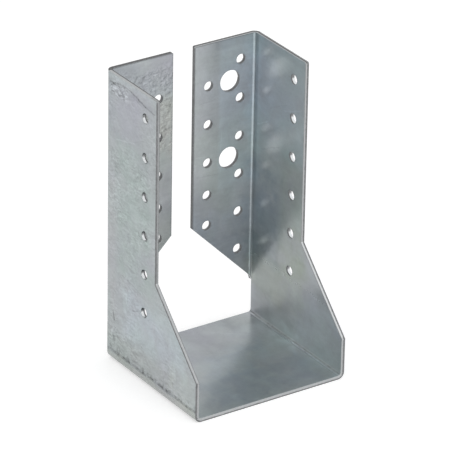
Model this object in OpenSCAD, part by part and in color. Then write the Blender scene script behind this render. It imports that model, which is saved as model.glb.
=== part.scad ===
// Joist hanger with inward-turned header flanges, folded from one galvanised steel sheet.
// The origin is under the middle of the hanger, on the underside of the seat. +Z is up.
// +Y points back to the header beam, and the joist lies in the pocket, which opens to -Y.

/* [Joist pocket] */
// Clear width between the walls, which is the width of the joist
joist_w = 80; // [74:1:160]
// Height from the underside of the seat to the top edge
hanger_h = 150; // [120:1:260]
// Depth from the front edge of the seat to the face of the header
seat_depth = 79; // [70:0.5:120]
// Depth of the walls above the slope, from their front edge to the face of the header
wall_depth = 43.5; // [36:0.5:60]
// Height of the square front corner of each wall
toe_h = 21; // [12:0.5:40]
// Slope of the front edge of the walls above that corner
slope_angle = 45; // [35:1:60]

/* [Sheet] */
// Thickness of the sheet
sheet_t = 2; // [1.5:0.1:3]
// Inner radius of every fold
fold_r = 1.5; // [1:0.1:4]
// Radius of the free corners at the top edge
corner_r = 0.6; // [0.5:0.1:4]
// Step from the face of the header forward to the rear edges of the seat and the lower walls
rear_step = 2.5; // [1:0.1:2.9]

/* [Header flanges] */
// Width of each flange, from the outer face of the wall to the free edge
flange_w = 36; // [34:0.5:38]
// Height of the free corner at the foot of each flange
flange_foot_h = 55; // [50:0.5:70]
// Slope of the foot, down from that corner to the wall
foot_angle = 45; // [35:1:50]
// Radius where the foot runs into the rear edge of the wall
foot_fillet_r = 4; // [1:0.5:6]

/* [Nail holes] */
// Diameter of the nail holes
nail_d = 5; // [3.5:0.1:6]
// Spacing of the nail holes along a row
nail_pitch = 20; // [18:0.5:26]
// Distance from the top edge down to the first nail hole
nail_top = 12; // [8:0.5:16]
// Distance from the front edge of each wall back to its nail holes
wall_row_in = 9; // [6:0.5:14]
// Distance from the outer face of the wall to the outer row in the flange
outer_row_in = 10; // [9:0.5:11]
// Distance from the free edge of the flange to the inner row
inner_row_in = 8; // [6:0.5:9]
// Spacing of the two lowest nail holes of the inner row
foot_nail_pitch = 16; // [12:0.5:20]
// Least spacing above those two
nail_gap = 15; // [10:0.5:17]
// Least height of a nail hole above the sloping foot
foot_clear = 8; // [6:0.5:9]

/* [Bolt holes] */
// Diameter of the bolt holes
bolt_d = 11; // [9:0.5:12]
// Distance from the outer face of the wall to the bolt holes
bolt_row_in = 16; // [15.5:0.5:17]
// Number of bolt holes in each flange
bolt_count = 2; // [1:1:2]

/* [Hidden] */
$fn = 96;
// Length by which a cutting shape runs past the sheet
run_past = 1;
half_w = joist_w / 2 + sheet_t;
fold_outer_r = fold_r + sheet_t;
front_y = -seat_depth / 2;
header_y = seat_depth / 2;
rear_y = header_y - rear_step;
fold_y = header_y - fold_outer_r;
wall_front_y = header_y - wall_depth;
slope_top_h = toe_h + (seat_depth - wall_depth) * tan(slope_angle);
flange_edge_x = half_w - flange_w;
outer_row_x = half_w - outer_row_in;
inner_row_x = flange_edge_x + inner_row_in;
bolt_row_x = half_w - bolt_row_in;
// The fillet touches the inner face of the wall at the height where the fold begins
foot_tangent = foot_fillet_r * tan((90 - foot_angle) / 2);
fold_root_h = foot_h(joist_w / 2) - foot_tangent;
// The staggered rows: the inner one starts half a spacing below the outer one
outer_row_top = hanger_h - nail_top;
inner_row_top = outer_row_top - nail_pitch / 2;
bolt_pitch = 2 * nail_pitch;
outer_rows = holes_down(outer_row_top, foot_h(outer_row_x) + foot_clear);
inner_rows = holes_down(inner_row_top, flange_foot_h + foot_nail_pitch + nail_gap);
foot_rows = [flange_foot_h + foot_nail_pitch, flange_foot_h];
bolt_rows = [for (i = [0 : bolt_count - 1]) inner_row_top - i * bolt_pitch];

// Height of the sloping foot at a distance x from the middle of the hanger
function foot_h(x) = flange_foot_h - (x - flange_edge_x) * tan(foot_angle);

// Heights of a row of holes, one spacing apart from the top one down to the lowest that fits
function holes_down(top, lowest) = [for (h = top; h >= lowest; h = h - nail_pitch) h];

// Upright band, w wide and h high, with its two lower corners rounded
module round_bottomed(w, h, r) {
    translate([-w / 2, r]) square([w, h - r]);
    translate([r - w / 2, 0]) square([w - 2 * r, r]);
    for (side = [-1, 1]) {
        translate([side * (w / 2 - r), r]) circle(r);
    }
}

// What rounds a square corner at the origin, where the shape lies towards +X and -Y
module corner_waste(r) {
    difference() {
        translate([-run_past, -r]) square(r + run_past);
        translate([r, -r]) circle(r);
    }
}

// Section across the hanger: the seat, the two lower folds and the walls
module channel_section() {
    difference() {
        round_bottomed(2 * half_w, hanger_h, fold_outer_r);
        translate([0, sheet_t]) round_bottomed(joist_w, hanger_h, fold_r);
    }
}

// Outline of a wall, seen from the side
module wall_outline() {
    difference() {
        polygon([
            [front_y, 0],
            [rear_y, 0],
            [rear_y, fold_root_h],
            [fold_y, fold_root_h],
            [fold_y, hanger_h],
            [wall_front_y, hanger_h],
            [wall_front_y, slope_top_h],
            [front_y, toe_h]
        ]);
        translate([wall_front_y, hanger_h]) corner_waste(corner_r);
    }
}

// The seat with its two walls, still without holes
module seat_and_walls() {
    intersection() {
        translate([0, rear_y, 0]) rotate([90, 0, 0]) linear_extrude(rear_y - front_y) channel_section();
        rotate([90, 0, 90]) linear_extrude(2 * half_w, center = true) wall_outline();
    }
}

// Section of the right-hand fold and flange, seen from above
module flange_section() {
    translate([half_w - fold_outer_r, fold_y]) intersection() {
        difference() {
            circle(fold_outer_r);
            circle(fold_r);
        }
        square(fold_outer_r);
    }
    translate([flange_edge_x, header_y - sheet_t]) square([flange_w - fold_outer_r, sheet_t]);
}

// Outline of the right-hand flange, seen from the front
module flange_outline() {
    fillet_top_x = joist_w / 2 - foot_tangent * cos(foot_angle);
    difference() {
        polygon([
            [flange_edge_x, hanger_h],
            [flange_edge_x, flange_foot_h],
            [fillet_top_x, foot_h(fillet_top_x)],
            [joist_w / 2, fold_root_h],
            [half_w, fold_root_h],
            [half_w, hanger_h]
        ]);
        translate([joist_w / 2 - foot_fillet_r, fold_root_h]) circle(foot_fillet_r);
        translate([flange_edge_x, hanger_h]) corner_waste(corner_r);
    }
}

// The right-hand flange with the fold that joins it to the wall, still without holes
module header_flange() {
    intersection() {
        linear_extrude(hanger_h) flange_section();
        translate([0, header_y, 0]) rotate([90, 0, 0]) linear_extrude(fold_outer_r) flange_outline();
    }
}

// A hole of diameter d through the header flange
module flange_hole(x, h, d) {
    translate([x, header_y + run_past, h]) rotate([90, 0, 0]) cylinder(h = sheet_t + 2 * run_past, d = d);
}

// The nail and bolt holes of the right-hand flange
module flange_holes() {
    for (h = outer_rows) flange_hole(outer_row_x, h, nail_d);
    for (h = concat(inner_rows, foot_rows)) flange_hole(inner_row_x, h, nail_d);
    for (h = bolt_rows) flange_hole(bolt_row_x, h, bolt_d);
}

// The joist nail holes, each pair punched on one line through both walls
module wall_holes() {
    for (h = outer_rows) {
        translate([0, wall_front_y + wall_row_in, h]) rotate([0, 90, 0])
            cylinder(h = 2 * (half_w + run_past), d = nail_d, center = true);
    }
}

// The whole hanger, one folded and punched sheet
module hanger() {
    color([0.62, 0.65, 0.66]) difference() {
        union() {
            seat_and_walls();
            for (side = [0, 1]) mirror([side, 0, 0]) header_flange();
        }
        for (side = [0, 1]) mirror([side, 0, 0]) flange_holes();
        wall_holes();
    }
}

hanger();
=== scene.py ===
import math

import bpy
from mathutils import Matrix, Vector

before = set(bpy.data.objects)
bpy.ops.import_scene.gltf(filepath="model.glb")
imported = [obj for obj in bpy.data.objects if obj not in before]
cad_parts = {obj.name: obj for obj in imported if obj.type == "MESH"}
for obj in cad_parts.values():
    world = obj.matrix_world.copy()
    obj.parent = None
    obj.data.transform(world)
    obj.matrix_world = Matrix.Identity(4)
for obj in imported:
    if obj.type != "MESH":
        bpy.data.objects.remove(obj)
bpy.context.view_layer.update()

# The view of the hanger: a long lens from a little above, at the open front corner,
# so that one wall shows its outer face and the other its inner face.
# The camera leans by one degree.
view_azimuth = math.radians(-33.96)
view_elevation = math.radians(26.57)
view_lean = math.radians(1.0)
view_distance = 1.972
view_target = Vector((0.0049, 0.0074, 0.070))
view_lens = 334.9
view_back = Vector((math.sin(view_azimuth) * math.cos(view_elevation),
                    -math.cos(view_azimuth) * math.cos(view_elevation),
                    math.sin(view_elevation)))
view_turn = view_back.to_track_quat("Z", "Y").to_matrix().to_4x4()
view_data = bpy.data.cameras.new("view")
view_data.lens = view_lens
view_data.sensor_width = 36
view = bpy.data.objects.new("view", view_data)
view.matrix_world = (Matrix.Translation(view_target + view_back * view_distance) @ view_turn
                     @ Matrix.Rotation(view_lean, 4, "Z"))
bpy.context.scene.collection.objects.link(view)
bpy.context.scene.camera = view

# The studio: a white tent round the bench, evenly lit from all sides, with one large
# soft lamp in front that reaches into the pocket. Metal mirrors the tent at the white
# that is seen behind the hanger, while the light that it gives is a little lower.
tent_light = 0.78
tent_white = 1.0
lamp_size = 1.4
lamp_power = 22.0
lamp_place = Vector((-0.15, -2.2, 0.85))


def seen_or_mirrored(tree):
    path = tree.nodes.new("ShaderNodeLightPath")
    share = path.outputs["Is Camera Ray"]
    for ray in ("Is Glossy Ray", "Is Transmission Ray"):
        either = tree.nodes.new("ShaderNodeMath")
        either.operation = "MAXIMUM"
        tree.links.new(share, either.inputs[0])
        tree.links.new(path.outputs[ray], either.inputs[1])
        share = either.outputs[0]
    return share


bpy.context.scene.view_settings.view_transform = "Standard"
tent = bpy.data.worlds.new("white_tent")
bpy.context.scene.world = tent
tent.use_nodes = True
tent_tree = tent.node_tree
tent_shade = tent_tree.nodes["Background"]
tent_shade.inputs["Color"].default_value = (1, 1, 1, 1)
tent_level = tent_tree.nodes.new("ShaderNodeMath")
tent_level.operation = "MULTIPLY_ADD"
tent_level.inputs[1].default_value = tent_white - tent_light
tent_level.inputs[2].default_value = tent_light
tent_tree.links.new(seen_or_mirrored(tent_tree), tent_level.inputs[0])
tent_tree.links.new(tent_level.outputs[0], tent_shade.inputs["Strength"])

lamp_data = bpy.data.lights.new("soft_lamp", "AREA")
lamp_data.shape = "SQUARE"
lamp_data.size = lamp_size
lamp_data.energy = lamp_power
lamp = bpy.data.objects.new("soft_lamp", lamp_data)
lamp.matrix_world = (Matrix.Translation(lamp_place)
                     @ lamp_place.to_track_quat("Z", "Y").to_matrix().to_4x4())
bpy.context.scene.collection.objects.link(lamp)

# The bench: a plain white sheet laid flat under the hanger, matt, pale enough to run
# into the tent behind it, and shaded only where the hanger stands.
bench_side = 8.0
bench_paint = (0.72, 0.72, 0.72, 1)
bench_glow = 0.46
bench_rough = 0.9
bpy.ops.object.select_all(action="DESELECT")
bpy.ops.mesh.primitive_plane_add(size=bench_side, location=(0, 0, 0))
bench = bpy.context.object
bench.name = "bench"
bench_finish = bpy.data.materials.new("bench_white")
bench_finish.use_nodes = True
bench_shade = bench_finish.node_tree.nodes["Principled BSDF"]
bench_shade.inputs["Base Color"].default_value = bench_paint
bench_shade.inputs["Roughness"].default_value = bench_rough
bench_shade.inputs["Specular IOR Level"].default_value = 0.0
bench_shade.inputs["Emission Color"].default_value = (1, 1, 1, 1)
bench_level = bench_finish.node_tree.nodes.new("ShaderNodeMath")
bench_level.operation = "MULTIPLY"
bench_level.inputs[1].default_value = bench_glow
bench_finish.node_tree.links.new(seen_or_mirrored(bench_finish.node_tree), bench_level.inputs[0])
bench_finish.node_tree.links.new(bench_level.outputs[0], bench_shade.inputs["Emission Strength"])
bench.data.materials.append(bench_finish)

# The hanger: one blank cut and punched from 2 mm galvanised sheet, then pressed into
# a seat, two walls and two flanges. The zinc is dull and clouded from handling.
# Sheared edges and punched holes are bare steel: burnished first, then torn.
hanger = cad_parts["hanger"]
mm = 0.001
zinc_paint = (0.405, 0.438, 0.448, 1)
zinc_metal = 0.56
zinc_rough = 0.24
zinc_roughest = 0.268
burnished_paint = (0.66, 0.68, 0.69, 1)
burnished_rough = 0.26
torn_paint = (0.190, 0.193, 0.197, 1)
torn_rough = 0.62
torn_metal = 0.6

# Sizes of the folded sheet, of its slopes and of its rows of holes, all in mm.
sheet_thick = 2.0
skin_margin = 0.03
roll_over = 0.2
fold_centre = (38.5, 36.0, 3.5)
fold_inner = 1.5
flange_start = 19.3
wall_middle = 41.0
wall_face = 40.0
flange_face = 37.5
flange_edge = 6.0
slope_foot = 21.0
slope_top = 57.0
top_roll = 149.3
nail_radius = 2.5
nail_pitch = 20.0
foot_nail_pitch = 16.0
bolt_radius = 5.5
bolt_pitch = 40.0
wall_row = 5.0
outer_row = 32.0
inner_row = 14.0
bolt_row = 26.0
outer_row_foot = 38.0
inner_row_foot = 88.0
lowest_nail = 55.0
behind_wall_row = 25.0


def feed(tree, socket, value):
    if isinstance(value, bpy.types.NodeSocket):
        tree.links.new(value, socket)
    else:
        socket.default_value = value


def figure(tree, operation, *values):
    node = tree.nodes.new("ShaderNodeMath")
    node.operation = operation
    for socket, value in zip(node.inputs, values):
        feed(tree, socket, value)
    return node.outputs[0]


def over(tree, value, limit):
    return figure(tree, "GREATER_THAN", value, limit)


def under(tree, value, limit):
    return figure(tree, "LESS_THAN", value, limit)


def both(tree, share, *others):
    for other in others:
        share = figure(tree, "MULTIPLY", share, other)
    return share


def added(tree, base, share, amount):
    return figure(tree, "MULTIPLY_ADD", share, amount, base)


def away_from(tree, value, middle):
    return figure(tree, "ABSOLUTE", figure(tree, "SUBTRACT", value, middle))


def along(tree, operation, first, second=None):
    node = tree.nodes.new("ShaderNodeVectorMath")
    node.operation = operation
    feed(tree, node.inputs[0], first)
    if second is not None:
        feed(tree, node.inputs["Scale"] if operation == "SCALE" else node.inputs[1], second)
    return node.outputs["Value"] if operation in ("LENGTH", "DOT_PRODUCT") else node.outputs["Vector"]


def parts_of(tree, vector):
    node = tree.nodes.new("ShaderNodeSeparateXYZ")
    feed(tree, node.inputs[0], vector)
    return node.outputs


def ramp(tree, value, start, end, low=0.0, high=1.0):
    node = tree.nodes.new("ShaderNodeMapRange")
    node.interpolation_type = "SMOOTHSTEP"
    for name, entry in (("Value", value), ("From Min", start), ("From Max", end),
                        ("To Min", low), ("To Max", high)):
        feed(tree, node.inputs[name], entry)
    return node.outputs["Result"]


def blend(tree, share, first, second):
    node = tree.nodes.new("ShaderNodeMix")
    feed(tree, node.inputs[0], share)
    feed(tree, node.inputs[2], first)
    feed(tree, node.inputs[3], second)
    return node.outputs[0]


def tinted(tree, share, first, second, way="MIX"):
    node = tree.nodes.new("ShaderNodeMix")
    node.data_type = "RGBA"
    node.blend_type = way
    node.clamp_factor = True
    feed(tree, node.inputs[0], share)
    feed(tree, node.inputs[6], first)
    feed(tree, node.inputs[7], second)
    return node.outputs[2]


def grey(tree, level):
    node = tree.nodes.new("ShaderNodeCombineColor")
    for socket in node.inputs[:3]:
        feed(tree, socket, level)
    return node.outputs[0]


def grain(tree, place, scale, detail=2.0, wander=0.0):
    node = tree.nodes.new("ShaderNodeTexNoise")
    feed(tree, node.inputs["Vector"], place)
    feed(tree, node.inputs["Scale"], scale)
    node.inputs["Detail"].default_value = detail
    node.inputs["Distortion"].default_value = wander
    return node.outputs


def group_of(name, entries, results):
    tree = bpy.data.node_groups.new(name, "ShaderNodeTree")
    for label, kind, value in entries:
        socket = tree.interface.new_socket(name=label, in_out="INPUT", socket_type="NodeSocket" + kind)
        if value is not None:
            socket.default_value = value
    for label in results:
        tree.interface.new_socket(name=label, in_out="OUTPUT", socket_type="NodeSocketFloat")
    return tree, tree.nodes.new("NodeGroupInput").outputs, tree.nodes.new("NodeGroupOutput").inputs


def use(tree, group, **entries):
    node = tree.nodes.new("ShaderNodeGroup")
    node.node_tree = group
    for label, value in entries.items():
        feed(tree, node.inputs[label], value)
    return node.outputs


# Where a point lies in the folded sheet: how deep below the inner skin, in mm, whether
# on a cut face between the skins, and how far round each fold.
folded_sheet, given, found = group_of(
    "folded_sheet", [("Place", "Vector", None)],
    ["Depth", "Cut", "SeatFold", "FlangeFold", "SeatTurn", "FlangeTurn"])
tree = folded_sheet
side, rear, level = parts_of(tree, given["Place"])
side_on = figure(tree, "SUBTRACT", figure(tree, "ABSOLUTE", side), fold_centre[0])
back_on = both(tree, figure(tree, "SUBTRACT", rear, fold_centre[1]), over(tree, level, flange_start))
down_on = figure(tree, "SUBTRACT", fold_centre[2], level)
spread = tree.nodes.new("ShaderNodeCombineXYZ")
for socket, value in zip(spread.inputs, (side_on, back_on, down_on)):
    feed(tree, socket, figure(tree, "MAXIMUM", value, 0.0))
depth = figure(tree, "SUBTRACT", along(tree, "LENGTH", spread.outputs[0]), fold_inner)
feed(tree, found["Depth"], depth)
feed(tree, found["Cut"], both(
    tree, over(tree, depth, skin_margin), under(tree, depth, sheet_thick - skin_margin)))
for name, past in (("Seat", down_on), ("Flange", back_on)):
    feed(tree, found[name + "Fold"], ramp(tree, figure(tree, "MINIMUM", side_on, past), -0.1, 0.3))
    feed(tree, found[name + "Turn"], figure(tree, "ARCTAN2", past, side_on))

# How far a point is from the rim of the nearest punched hole, in mm, and how far it is
# above the middle of the nearest hole of a wall.
punched_holes, given, found = group_of("punched_holes", [("Place", "Vector", None)], ["Rim", "Rise"])
tree = punched_holes
side, rear, level = parts_of(tree, given["Place"])
from_middle = figure(tree, "ABSOLUTE", side)


def rim_and_rise(tree, column, level, foot, pitch, count, radius):
    number = figure(tree, "ROUND", figure(tree, "DIVIDE", figure(tree, "SUBTRACT", level, foot), pitch))
    number = figure(tree, "MINIMUM", figure(tree, "MAXIMUM", number, 0.0), count - 1.0)
    rise = figure(tree, "SUBTRACT", level, figure(tree, "MULTIPLY_ADD", number, pitch, foot))
    reach = figure(tree, "SQRT", figure(tree, "ADD", figure(tree, "POWER", column, 2.0),
                                        figure(tree, "POWER", rise, 2.0)))
    return figure(tree, "SUBTRACT", reach, radius), rise


wall_rim, wall_rise = rim_and_rise(tree, figure(tree, "SUBTRACT", rear, wall_row), level,
                                   outer_row_foot, nail_pitch, 6, nail_radius)
flange_rim = None
for column, foot, pitch, count, radius in (
        (outer_row, outer_row_foot, nail_pitch, 6, nail_radius),
        (inner_row, inner_row_foot, nail_pitch, 3, nail_radius),
        (inner_row, lowest_nail, foot_nail_pitch, 2, nail_radius),
        (bolt_row, inner_row_foot, bolt_pitch, 2, bolt_radius)):
    row_rim = rim_and_rise(tree, figure(tree, "SUBTRACT", from_middle, column), level,
                           foot, pitch, count, radius)[0]
    flange_rim = row_rim if flange_rim is None else figure(tree, "MINIMUM", flange_rim, row_rim)
feed(tree, found["Rim"], blend(tree, over(tree, rear, behind_wall_row), wall_rim, flange_rim))
feed(tree, found["Rise"], wall_rise)

# Clouds in the zinc: uneven lightness about zero, of a given size and stretch.
zinc_clouds, given, found = group_of(
    "zinc_clouds", [("Place", "Vector", None), ("Size", "Float", 10.0), ("Stretch", "Vector", (1, 1, 1)),
                    ("Shift", "Vector", (0, 0, 0))], ["Cloud"])
tree = zinc_clouds
laid = along(tree, "ADD", along(tree, "MULTIPLY", given["Place"], given["Stretch"]), given["Shift"])
cloud = grain(tree, laid, figure(tree, "DIVIDE", 1.0, given["Size"]), 3.0, 0.3)["Fac"]
feed(tree, found["Cloud"], both(tree, figure(tree, "SUBTRACT", cloud, 0.5), 4.0))

# A scratch, a scuff or a crease: a line from one point to another that wanders a little.
line_mark, given, found = group_of(
    "line_mark", [("Place", "Vector", None), ("Start", "Vector", (0, 0, 0)), ("End", "Vector", (0, 0, 1)),
                  ("Width", "Float", 0.5), ("Wander", "Float", 0.2)], ["Mark"])
tree = line_mark
unrest = along(tree, "SUBTRACT", grain(tree, given["Place"], 0.35)["Color"], (0.5, 0.5, 0.5))
moved = along(tree, "ADD", given["Place"], along(tree, "SCALE", unrest, both(tree, given["Wander"], 4.0)))
run = along(tree, "SUBTRACT", given["End"], given["Start"])
from_start = along(tree, "SUBTRACT", moved, given["Start"])
part = figure(tree, "DIVIDE", along(tree, "DOT_PRODUCT", from_start, run),
              along(tree, "DOT_PRODUCT", run, run))
part = figure(tree, "MINIMUM", figure(tree, "MAXIMUM", part, 0.0), 1.0)
off = along(tree, "LENGTH", along(tree, "SUBTRACT", from_start, along(tree, "SCALE", run, part)))
feed(tree, found["Mark"], ramp(tree, off, given["Width"], both(tree, given["Width"], 0.2)))

# A soft-edged, ragged patch of the skin, used for stains and rubbed places and for patches of painted light
# and shade.
soft_patch, given, found = group_of(
    "soft_patch", [("Place", "Vector", None), ("Centre", "Vector", (0, 0, 0)),
                   ("Reach", "Vector", (1, 1, 1)), ("Edge", "Float", 4.0)], ["Patch"])
tree = soft_patch
raggedness = figure(tree, "SUBTRACT", grain(tree, given["Place"], 0.11, 4.0, 0.6)["Fac"], 0.5)
away = along(tree, "ABSOLUTE", along(tree, "SUBTRACT", given["Place"], given["Centre"]))
side, rear, level = parts_of(tree, along(tree, "SUBTRACT", away, given["Reach"]))
farthest = figure(tree, "MAXIMUM", side, figure(tree, "MAXIMUM", rear, level))
farthest = figure(tree, "ADD", farthest, both(tree, raggedness, both(tree, given["Edge"], 2.5)))
feed(tree, found["Patch"], ramp(tree, farthest, given["Edge"], both(tree, given["Edge"], -0.6)))

# Small spots, pits or grains of zinc: a share of the skin, each of a given size.
zinc_specks, given, found = group_of(
    "zinc_specks", [("Place", "Vector", None), ("Size", "Float", 1.0), ("Share", "Float", 0.3)], ["Speck"])
tree = zinc_specks
spotted = grain(tree, given["Place"], figure(tree, "DIVIDE", 1.0, given["Size"]))["Fac"]
bar = added(tree, 0.72, given["Share"], -0.35)
feed(tree, found["Speck"], ramp(tree, spotted, bar, figure(tree, "ADD", bar, 0.08)))

# The finish itself.
finish = bpy.data.materials.new("galvanised_sheet")
finish.use_nodes = True
tree = finish.node_tree
shade = tree.nodes["Principled BSDF"]
place = along(tree, "SCALE", tree.nodes.new("ShaderNodeTexCoord").outputs["Object"], 1 / mm)
sheet = use(tree, folded_sheet, Place=place)
holes = use(tree, punched_holes, Place=place)
depth = sheet["Depth"]
rim = holes["Rim"]
across, back, height = parts_of(tree, place)


def clouds(size, at=place, **shape):
    return use(tree, zinc_clouds, Place=at, Size=size, **shape)["Cloud"]


def patch_at(centre, reach, edge):
    return use(tree, soft_patch, Place=place, Centre=centre, Reach=reach, Edge=edge)["Patch"]


# Lightness of the skin: broad clouds, drawn-out smudges, small mottling and grain, and
# the flat-toned spangle in which the zinc froze.
skin_light = 1.0
for size, stretch, shift, amount in (
        (42.0, (1, 1, 1), (3, 7, 1), 0.035),
        (13.0, (1, 0.7, 1.5), (17, 2, 9), 0.040),
        (5.0, (1, 0.6, 1.6), (5, 31, 3), 0.040),
        (1.7, (1, 1, 1), (0, 0, 50), 0.036),
        (0.7, (1, 1, 1), (9, 0, 0), 0.025)):
    skin_light = added(tree, skin_light, clouds(size, Stretch=stretch, Shift=shift), amount)
spangle_size = 9.0
spangle_bend = along(tree, "SCALE", (1, 1, 1), both(tree, grain(tree, place, 1 / 6.0)["Fac"], 5.0))
spangle = tree.nodes.new("ShaderNodeTexVoronoi")
feed(tree, spangle.inputs["Vector"], along(tree, "ADD", place, spangle_bend))
spangle.inputs["Scale"].default_value = 1 / spangle_size
spangle_tone = tree.nodes.new("ShaderNodeSeparateColor")
feed(tree, spangle_tone.inputs[0], spangle.outputs["Color"])
skin_light = added(tree, skin_light, figure(tree, "SUBTRACT", spangle_tone.outputs[0], 0.5), 0.035)

# Its tint: green, mauve and straw-coloured clouds, all very weak.
tint = tree.nodes.new("ShaderNodeValToRGB")
feed(tree, tint.inputs[0], added(tree, 0.5, clouds(30.0, Shift=(40, 3, 12)), 0.5))
mauve, green = tint.color_ramp.elements
mauve.position = 0.20
mauve.color = (0.985, 0.960, 1.0, 1)
green.position = 0.80
green.color = (0.960, 0.995, 0.980, 1)
tint.color_ramp.elements.new(0.5).color = (0.985, 0.985, 0.985, 1)
skin = tinted(tree, 1.0, zinc_paint, tint.outputs["Color"], "MULTIPLY")

# Stains and rubbed places, and among them painted light and shade: lighter and darker bands
# and patches that stand in for reflections and shade, such as the light band along the top of
# the outer wall with the dark band under it, the light band along its lower fold, the lighter
# lower front of the inner wall, the darker place by its fold and lighter places on the flange.
# Columns: middle, reach, softness, colour that the skin is multiplied by.
# Each lies on one skin of the sheet and doesn't show through on the other.
inner_skin = under(tree, depth, skin_margin)
outer_skin = over(tree, depth, sheet_thick - skin_margin)
for middle_at, reach, edge, colour in (
        ((-42, 24, 133), (1, 12, 12), 6, (0.955, 0.935, 0.985, 1)),
        ((-42, 15, 84), (1, 12, 34), 7, (0.935, 1.0, 0.955, 1)),
        ((-42, -4, 31), (1, 24, 10), 7, (1.10, 1.16, 1.17, 1)),
        ((-42, -28, 14), (1, 10, 8), 6, (1.14, 1.14, 1.10, 1)),
        ((-42, 10, 11), (1, 30, 4), 3, (0.95, 0.945, 0.92, 1)),
        ((-42, 33, 55), (1, 2, 40), 4, (1.02, 0.99, 0.99, 1)),
        ((-42, 0, 2.5), (4, 45, 2.5), 1.5, (1.03, 1.00, 0.95, 1)),
        ((-42, 16, 144.4), (1, 24, 0.9), 1.2, (0.90, 0.90, 0.91, 1)),
        ((-42, 16, 149), (1, 30, 1.2), 0.8, (1.05, 1.06, 1.07, 1)),
        ((-24, 37.5, 100), (18, 1, 50), 2, (0.87, 0.85, 0.82, 1)),
        ((-13, 37.5, 114), (6, 1, 12), 6, (1.02, 0.985, 0.965, 1)),
        ((-24, 37.5, 140), (18, 1, 10), 5, (0.985, 0.965, 1.06, 1)),
        ((-12, 37.5, 80), (9, 1, 14), 7, (0.86, 0.88, 0.90, 1)),
        ((24, 37.5, 46), (16, 1, 12), 8, (0.88, 0.91, 0.95, 1)),
        ((40, 16, 125), (1, 22, 30), 7, (1.02, 1.08, 1.105, 1)),
        ((40, 16, 116), (1, 22, 7), 6, (1.06, 1.06, 1.07, 1)),
        ((40, 18, 90), (1, 16, 14), 7, (0.945, 0.94, 0.94, 1)),
        ((40, 26, 60), (1, 9, 22), 7, (0.78, 0.83, 0.88, 1)),
        ((40, 4, 64), (1, 8, 30), 6, (0.93, 0.96, 0.90, 1)),
        ((40, -1, 53), (1, 6, 6), 4, (0.91, 0.91, 0.89, 1)),
        ((40, 16, 32), (1, 22, 14), 7, (0.91, 0.915, 0.86, 1)),
        ((40, -22, 15), (1, 23, 14), 8, (1.27, 1.30, 1.30, 1)),
        ((40, 16, 40), (1, 22, 18), 7, (1.00, 1.01, 0.985, 1)),
        ((40, 28, 12), (1, 7, 7), 3, (0.84, 0.84, 0.84, 1)),
        ((40, 36, 36), (1, 2, 16), 2, (1.13, 1.13, 1.12, 1)),
        ((40, 7, 13), (1, 8, 5), 5, (1.04, 1.02, 1.02, 1)),
        ((30, 17, 148.5), (12, 22, 2.5), 1.5, (0.90, 0.90, 0.91, 1)),
        ((34, 37.5, 80), (5, 1, 22), 5, (1.09, 1.08, 1.07, 1)),
        ((17, 37.5, 104), (5, 1, 26), 4, (1.06, 1.06, 1.06, 1)),
        ((19, 37.5, 90), (4, 1, 8), 4, (1.07, 1.07, 1.07, 1)),
        ((11, 37.5, 58), (5, 1, 4), 4, (1.10, 1.10, 1.10, 1)),
        ((-6, 22, 2), (30, 16, 1), 8, (0.84, 0.83, 0.86, 1)),
        ((27, 9, 2), (9, 15, 1), 7, (1.08, 1.11, 1.11, 1)),
        ((4, -24, 2), (28, 10, 1), 8, (0.80, 0.83, 0.89, 1)),
        ((8, -2, 2), (16, 8, 1), 7, (0.95, 0.98, 1.03, 1)),
        ((-33, 18, 2), (6, 18, 1), 5, (0.91, 0.91, 0.92, 1)),
        ((28, 31, 2), (5, 5, 1), 4, (0.88, 0.88, 0.88, 1)),
        ((35, 17, 2), (2, 7, 1), 3, (1.10, 1.10, 1.10, 1)),
        ((-10, 20, 2), (6, 16, 1), 5, (1.08, 1.08, 1.08, 1))):
    stained_side = outer_skin if abs(middle_at[0]) > wall_middle else inner_skin
    stain_and_painted_light = both(tree, patch_at(middle_at, reach, edge), stained_side)
    skin = tinted(tree, stain_and_painted_light, skin, colour, "MULTIPLY")

# One flange is painted lighter and bluer towards its fold, which is painted light, and straw-coloured along
# a rolled strip of the sheet.
flange_painted_light = both(tree, patch_at((22, 37.5, 118), (18, 1, 44), 7.0), inner_skin)
straw_strip = ramp(tree, across, 21.6, 18.8)
flange_painted_light_and_straw = tinted(tree, straw_strip, (1.09, 1.14, 1.16, 1), (0.98, 0.98, 0.96, 1))
skin = tinted(tree, flange_painted_light, skin, flange_painted_light_and_straw, "MULTIPLY")

# Rolling lines on the flanges, level and very fine, and slanted scuffs on the inner skin.
on_flange = over(tree, back, flange_face - 0.5)
rolled = clouds(3.0, Stretch=(0.22, 1, 2.6))
skin_light = added(tree, skin_light, both(tree, rolled, on_flange), 0.035)
slant = tree.nodes.new("ShaderNodeMapping")
feed(tree, slant.inputs["Vector"], place)
slant.inputs["Rotation"].default_value = (math.radians(18), 0, math.radians(35))
slant.inputs["Scale"].default_value = (1.0, 0.16, 1.6)
scuffed = clouds(2.6, at=slant.outputs["Vector"])
skin_light = added(tree, skin_light, both(tree, scuffed, inner_skin), 0.022)

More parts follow.
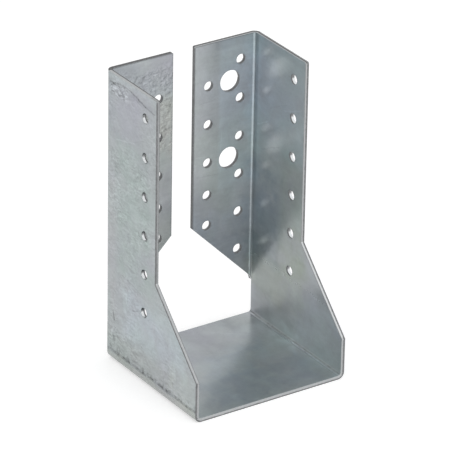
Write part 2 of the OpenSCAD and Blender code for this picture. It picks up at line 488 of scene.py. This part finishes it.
# Wisps and small dents from handling, with their shading painted in: each is painted light on one
# side and dark on the other, as painted highlight and shade. They cover the outer skin and one flange,
# thickest along the rear and the foot.
wisps, wisps_beside, wisps_across = (
    clouds(2.1, at=along(tree, "ADD", place, shift), Stretch=(1, 0.7, 1.3))
    for shift in ((0, 0, 0), (0.45, 0.35, -0.40), (0.45, -0.45, -0.15)))
wisp_turn = ramp(tree, clouds(6.0, Shift=(0, 3, 55)), -0.1, 0.25)
wisp_painted_shading = added(tree, figure(tree, "SUBTRACT", wisps, wisps_beside),
                    figure(tree, "SUBTRACT", wisps_beside, wisps_across), wisp_turn)
handled = ramp(tree, clouds(16.0, Shift=(8, 8, 30)), -0.5, 0.7, 0.35, 1.05)
for middle_at, reach, edge, amount in (
        ((-42, 30, 94), (1, 5, 16), 5, 1.0),
        ((-42, 14, 90), (1, 9, 20), 7, 0.5),
        ((-42, 28, 143), (1, 8, 3), 2, 2.4),
        ((-42, 6, 14), (1, 28, 6), 5, 0.4),
        ((-42, 31, 20), (1, 3, 10), 4, 0.9)):
    handled = added(tree, handled, patch_at(middle_at, reach, edge), amount)
handled = both(tree, handled, outer_skin)
grain_patch = patch_at((-22, 37.5, 122), (17, 1, 20), 6.0)
handled = figure(tree, "MAXIMUM", handled, both(tree, grain_patch, 1.7))
skin_light = added(tree, skin_light, both(tree, wisp_painted_shading, handled), 0.23)

# Scratches, scuffs and dents: start, end, width, wander, and how much lighter or darker.
scratch_dent = 0.0
for start, end, width, wander, change in (
        ((-42, 34.5, 143.6), (-42, 31, 146.0), 0.60, 0.15, -0.28),
        ((-42, 31, 146.0), (-42, 24, 147.0), 0.60, 0.2, -0.28),
        ((-42, 24, 147.0), (-42, 17, 146.6), 0.60, 0.2, -0.26),
        ((-42, 17, 146.6), (-42, 11, 145.2), 0.70, 0.25, -0.34),
        ((-42, 11, 145.2), (-42, 5, 143.8), 0.80, 0.25, -0.38),
        ((-42, 5, 143.8), (-42, -2.5, 142.8), 0.70, 0.25, -0.26),
        ((-42, 32, 143.0), (-42, 29, 143.6), 1.0, 0.3, 0.34),
        ((-42, 27, 144.4), (-42, 24, 145.4), 0.55, 0.2, 0.14),
        ((-42, 33.5, 141.3), (-42, 30, 141.2), 0.60, 0.2, -0.16),
        ((-42, 0, 143.6), (-42, -2, 141.6), 0.60, 0.2, -0.10),
        ((-42, 30, 117.6), (-42, 14, 121.6), 0.55, 0.25, 0.14),
        ((-42, 20, 119.0), (-42, 6, 126.5), 0.60, 0.4, -0.05),
        ((-42, -2, 131.0), (-42, -3.6, 133.0), 0.60, 0.2, 0.12),
        ((-42, 24, 49.5), (-42, 8, 46.4), 0.70, 0.35, -0.12),
        ((-42, 15, 34.5), (-42, 10, 36.6), 0.60, 0.2, -0.22),
        ((-42, 22.5, 70.6), (-42, 22.3, 70.2), 0.9, 0.2, -0.12),
        ((-42, 31.8, 27.0), (-42, 31.0, 23.0), 0.85, 0.3, -0.40),
        ((-42, 31.2, 13.6), (-42, 30.4, 12.4), 1.5, 0.3, -0.34),
        ((-42, 33.2, 14.2), (-42, 33.0, 16.4), 1.1, 0.4, 0.22),
        ((-42, 33.0, 104.0), (-42, 28.0, 101.0), 0.45, 0.4, 0.08),
        ((-42, 33.0, 98.0), (-42, 27.0, 93.5), 0.50, 0.4, 0.07),
        ((-42, 32.0, 88.0), (-42, 27.0, 86.0), 0.50, 0.4, 0.08),
        ((-42, 14.0, 88.0), (-42, 8.0, 92.0), 0.40, 0.3, -0.06),
        ((-42, 18.0, 98.0), (-42, 7.0, 100.0), 0.45, 0.3, -0.07),
        ((40, 12, 118.8), (40, -2, 124.6), 0.6, 0.4, 0.10),
        ((40, 34, 103.6), (40, 26, 107.8), 0.5, 0.3, 0.14),
        ((40, 30, 92.0), (40, 16, 98.5), 0.6, 0.4, -0.10),
        ((40, 24, 116.0), (40, 10, 123.0), 0.5, 0.4, -0.06),
        ((40, -4.0, 121.0), (40, -6, 122.0), 0.5, 0.1, 0.20),
        ((40, 25.5, 16.5), (40, 24.0, 15.0), 0.7, 0.2, -0.12),
        ((22, 37.5, 104), (20.5, 37.5, 85), 0.35, 0.1, 0.08),
        ((7.5, 37.5, 92.2), (11.5, 37.5, 91.6), 0.35, 0.1, 0.12),
        ((9, 37.5, 119.6), (18, 37.5, 120.4), 0.35, 0.15, -0.08),
        ((8, 37.5, 81.6), (19, 37.5, 80.8), 0.35, 0.15, -0.07),
        ((-14, 20, 2), (6, 6, 2), 0.6, 0.4, -0.05),
        ((10, 30, 2), (26, 17, 2), 0.6, 0.4, 0.06)):
    mark = use(tree, line_mark, Place=place, Start=start, End=end, Width=width, Wander=wander)["Mark"]
    skin_light = added(tree, skin_light, mark, change)
    if change < 0:
        scratch_dent = figure(tree, "MAXIMUM", mark, scratch_dent)

# The press line above each lower fold: rubbed, dark and blotched, a duller strip under it, and painted
# shade where the fold turns under.
line_height = added(tree, 5.9, clouds(7.0, Stretch=(0, 1, 0)), 0.35)
line_breaks = ramp(tree, clouds(2.4, Stretch=(0, 1, 0.8)), -0.8, 0.7, 0.30, 1.0)
press_line = both(tree, ramp(tree, away_from(tree, height, line_height), 1.2, 0.4), line_breaks, outer_skin)
blotches = both(tree, ramp(tree, clouds(2.8, Stretch=(0, 0.8, 1), Shift=(0, 50, 3)), 0.0, 0.45),
                ramp(tree, away_from(tree, height, 7.2), 3.0, 0.8), outer_skin)
below_line = both(tree, ramp(tree, height, 6.0, 5.0), outer_skin)
painted_under_shade = both(tree, ramp(tree, height, 3.0, 1.4), outer_skin)
for share, amount in ((press_line, -0.44), (blotches, -0.36), (below_line, -0.01), (painted_under_shade, -0.28)):
    skin_light = added(tree, skin_light, share, amount)

# The speckled part of one flange, where the zinc froze in fine dark grains.
grains = use(tree, zinc_specks, Place=place, Size=1.5, Share=0.60)["Speck"]
skin_light = added(tree, skin_light, both(tree, grains, grain_patch), -0.20)

# Inside the seat folds the crease is painted dark, which is painted shade, with short bright dashes in it.
crease = both(tree, sheet["SeatFold"], inner_skin)
rub_lengths = clouds(4.5, Stretch=(0, 1, 0))
rub_breaks = clouds(1.6, Stretch=(0, 1, 0))
rubbed_ends = figure(tree, "MAXIMUM", ramp(tree, back, 31.0, 33.0),
                     ramp(tree, away_from(tree, back, -11.0), 16.0, 11.0))
rubs = both(tree, ramp(tree, rub_lengths, -0.5, 0.3), ramp(tree, rub_breaks, -0.6, 0.4, 0.4, 1.0),
            rubbed_ends, ramp(tree, away_from(tree, sheet["SeatTurn"], 1.12), 0.30, 0.12))
painted_crease_shade = both(tree, ramp(tree, away_from(tree, sheet["SeatTurn"], 0.80), 0.40, 0.15),
                 ramp(tree, rub_lengths, -0.5, 0.5, 0.6, 1.0))
crease_shade_and_dashes = added(tree, added(tree, 0.90, painted_crease_shade, -0.44), rubs, 0.34)
skin_light = both(tree, skin_light, added(
    tree, 1.0, crease, figure(tree, "SUBTRACT", crease_shade_and_dashes, 1.0)))

# Inside the flange folds the wall side is darker, and the round itself is rubbed bright
# in short lengths.
fold_shade = both(tree, ramp(tree, back, 33.8, 35.4), ramp(tree, sheet["FlangeTurn"], 1.1, 0.5),
                  inner_skin, ramp(tree, height, 56.0, 84.0))
skin_light = added(tree, skin_light, fold_shade, -0.24)
fold_rubs = both(tree, sheet["FlangeFold"], inner_skin, clouds(5.0, Stretch=(0, 0, 1)))
skin_light = added(tree, skin_light, fold_rubs, 0.07)

# Round each hole the punch rolls the skin over, and a thin dark ring is painted there as painted shade of
# the rolled rim.
painted_rim_shade = both(tree, ramp(tree, rim, 0.75, 0.2), figure(tree, "SUBTRACT", 1.0, sheet["Cut"]))
skin_light = added(tree, skin_light, painted_rim_shade, -0.08)

# The shear draws the skin down along the free edge and the top of each flange, and a thin
# dark line of painted shade is painted on the front there.
from_edge = figure(tree, "SUBTRACT", figure(tree, "ABSOLUTE", across), flange_edge)
painted_edge_shade = both(tree, figure(tree, "MAXIMUM", ramp(tree, from_edge, 0.60, 0.25),
                              ramp(tree, height, top_roll, 149.7)), on_flange)
skin_light = added(tree, skin_light, painted_edge_shade, -0.34)
skin = tinted(tree, 1.0, skin, grey(tree, skin_light), "MULTIPLY")

# Sheared edges: a thin dark line of painted shade on the roll and a burnished band at the inner skin,
# then a torn dark band, which starts deeper on the slopes and along the front of the seat.
ragged = clouds(1.4)
seat_front = under(tree, height, 2.1)
far_side = over(tree, across, fold_centre[0])
near_side = under(tree, across, -fold_centre[0])
below_slope_top = under(tree, height, slope_top)
far_slope = both(tree, far_side, below_slope_top, ramp(tree, height, 19.5, 22.5))
near_slope = both(tree, near_side, below_slope_top, over(tree, height, slope_foot))
torn_from = 0.95
for share, amount in ((ragged, 0.10), (seat_front, 0.35), (far_slope, 0.20), (near_slope, 0.40)):
    torn_from = added(tree, torn_from, share, amount)
torn = ramp(tree, figure(tree, "SUBTRACT", depth, torn_from), -0.10, 0.12)
painted_roll_shade = both(tree, ramp(tree, depth, 0.36, 0.20), over(tree, height, 20.0))
torn = figure(tree, "MAXIMUM", torn, painted_roll_shade)

# The top edges differ from length to length, and each free edge is torn all through. The
# holes were punched from outside, so in them the order of the bands is turned round.
at_top = ramp(tree, height, top_roll, 149.6)
one_flange = both(tree, under(tree, across, 0.0), over(tree, back, flange_face - 1.0))
free_edge = both(tree, over(tree, back, flange_face - 0.1), under(tree, from_edge, 0.4))
torn_through = figure(tree, "MAXIMUM", both(tree, at_top, one_flange), free_edge)
torn = figure(tree, "MAXIMUM", torn, torn_through)
near_top = both(tree, at_top, under(tree, across, 0.1 - wall_face),
                figure(tree, "SUBTRACT", 1.0, one_flange))
near_top_torn = ramp(tree, added(tree, depth, ragged, 0.06), 0.75, 0.45)
far_top = both(tree, at_top, over(tree, across, wall_face - 0.1), under(tree, back, fold_centre[1]))
far_top_torn = ramp(tree, figure(tree, "ABSOLUTE", added(
    tree, figure(tree, "SUBTRACT", depth, 0.95), ragged, 0.08)), 0.60, 0.40)
far_flange = figure(tree, "SUBTRACT", both(tree, at_top, over(tree, across, 0.0)), far_top)
far_flange_torn = ramp(tree, added(tree, depth, ragged, 0.10), 0.55, 0.75)
in_hole = ramp(tree, rim, 0.2, 0.05)
torn_to = figure(tree, "ADD", over(tree, back, behind_wall_row), 0.72)
hole_torn = ramp(tree, figure(tree, "SUBTRACT", added(tree, depth, ragged, 0.10), torn_to), 0.10, -0.10)
for share, instead in ((near_top, near_top_torn), (far_top, far_top_torn),
                       (far_flange, far_flange_torn), (in_hole, hole_torn)):
    torn = blend(tree, share, torn, instead)

# The burnished band is painted lighter where it faces up and to the front, and darker on the
# near front: painted light and shade. It is brightest on the far slope and in the lower half of each hole.
near_front = both(tree, near_side, over(tree, height, slope_top), under(tree, back, 1.0))
burnished_painted_light = 0.62
for share, amount in ((far_slope, 0.36), (near_front, -0.14), (near_slope, 0.10), (seat_front, 0.06)):
    burnished_painted_light = added(tree, burnished_painted_light, share, amount)
hole_painted_light = ramp(tree, added(tree, holes["Rise"], ragged, 0.3), 0.1, -1.0, 0.34, 1.15)
burnished_painted_light = blend(tree, in_hole, burnished_painted_light, hole_painted_light)
burnished_painted_light = added(tree, burnished_painted_light, clouds(0.8), 0.05)
burnished_and_painted_light = tinted(tree, 1.0, burnished_paint, grey(tree, burnished_painted_light), "MULTIPLY")
# The torn band is darker on the top edges, which is painted shade.
torn_tone_and_painted_shade = added(tree, added(tree, 1.0, ragged, 0.25), at_top, -0.25)
torn_colour_and_painted_shade = tinted(tree, 1.0, torn_paint, grey(tree, torn_tone_and_painted_shade), "MULTIPLY")
edge_colour = tinted(tree, torn, burnished_and_painted_light, torn_colour_and_painted_shade)
feed(tree, shade.inputs["Base Color"], tinted(tree, sheet["Cut"], skin, edge_colour))

# Gloss: the zinc is satin with duller clouds, the burnished band brighter, the tear matt.
dull_cloud = clouds(11.0, Shift=(6, 60, 2))
wall_inside = both(tree, over(tree, across, wall_face - 0.5), inner_skin)
low_inside = both(tree, wall_inside, ramp(tree, height, 36.0, 28.0))
skin_rough = zinc_rough
for share, amount in ((dull_cloud, 0.030), (clouds(1.2, Shift=(6, 6, 2)), 0.015), (wall_inside, 0.02)):
    skin_rough = added(tree, skin_rough, share, amount)
skin_rough = figure(tree, "MINIMUM", skin_rough, zinc_roughest)
for share, amount in ((low_inside, 0.10), (crease, 0.12), (press_line, 0.15)):
    skin_rough = added(tree, skin_rough, share, amount)
edge_rough = ramp(tree, torn, 0.0, 1.0, burnished_rough, torn_rough)
feed(tree, shade.inputs["Roughness"], blend(tree, sheet["Cut"], skin_rough, edge_rough))
skin_metal = added(tree, zinc_metal, dull_cloud, -0.05)
edge_metal = ramp(tree, torn, 0.0, 1.0, 1.0, torn_metal)
feed(tree, shade.inputs["Metallic"], blend(tree, sheet["Cut"], skin_metal, edge_metal))

# Relief, in mm: slow waves of the pressed sheet, fine grain, scratches, torn edges.
relief = 0.0
for share, amount in (
        (clouds(22.0, Shift=(11, 4, 70)), 0.030),
        (clouds(6.0, Shift=(1, 44, 7)), 0.006),
        (clouds(0.6), 0.0005),
        (scratch_dent, -0.02),
        (both(tree, wisps, handled), 0.003),
        (press_line, -0.03),
        (both(tree, ragged, torn, sheet["Cut"]), 0.03)):
    relief = added(tree, relief, share, amount)
rolled_edge = tree.nodes.new("ShaderNodeBevel")
rolled_edge.samples = 4
rolled_edge.inputs["Radius"].default_value = roll_over * mm
bump = tree.nodes.new("ShaderNodeBump")
bump.inputs["Strength"].default_value = 1.0
bump.inputs["Distance"].default_value = mm
feed(tree, bump.inputs["Height"], relief)
feed(tree, bump.inputs["Normal"], rolled_edge.outputs["Normal"])
feed(tree, shade.inputs["Normal"], bump.outputs["Normal"])
hanger.material_slots[0].material = finish
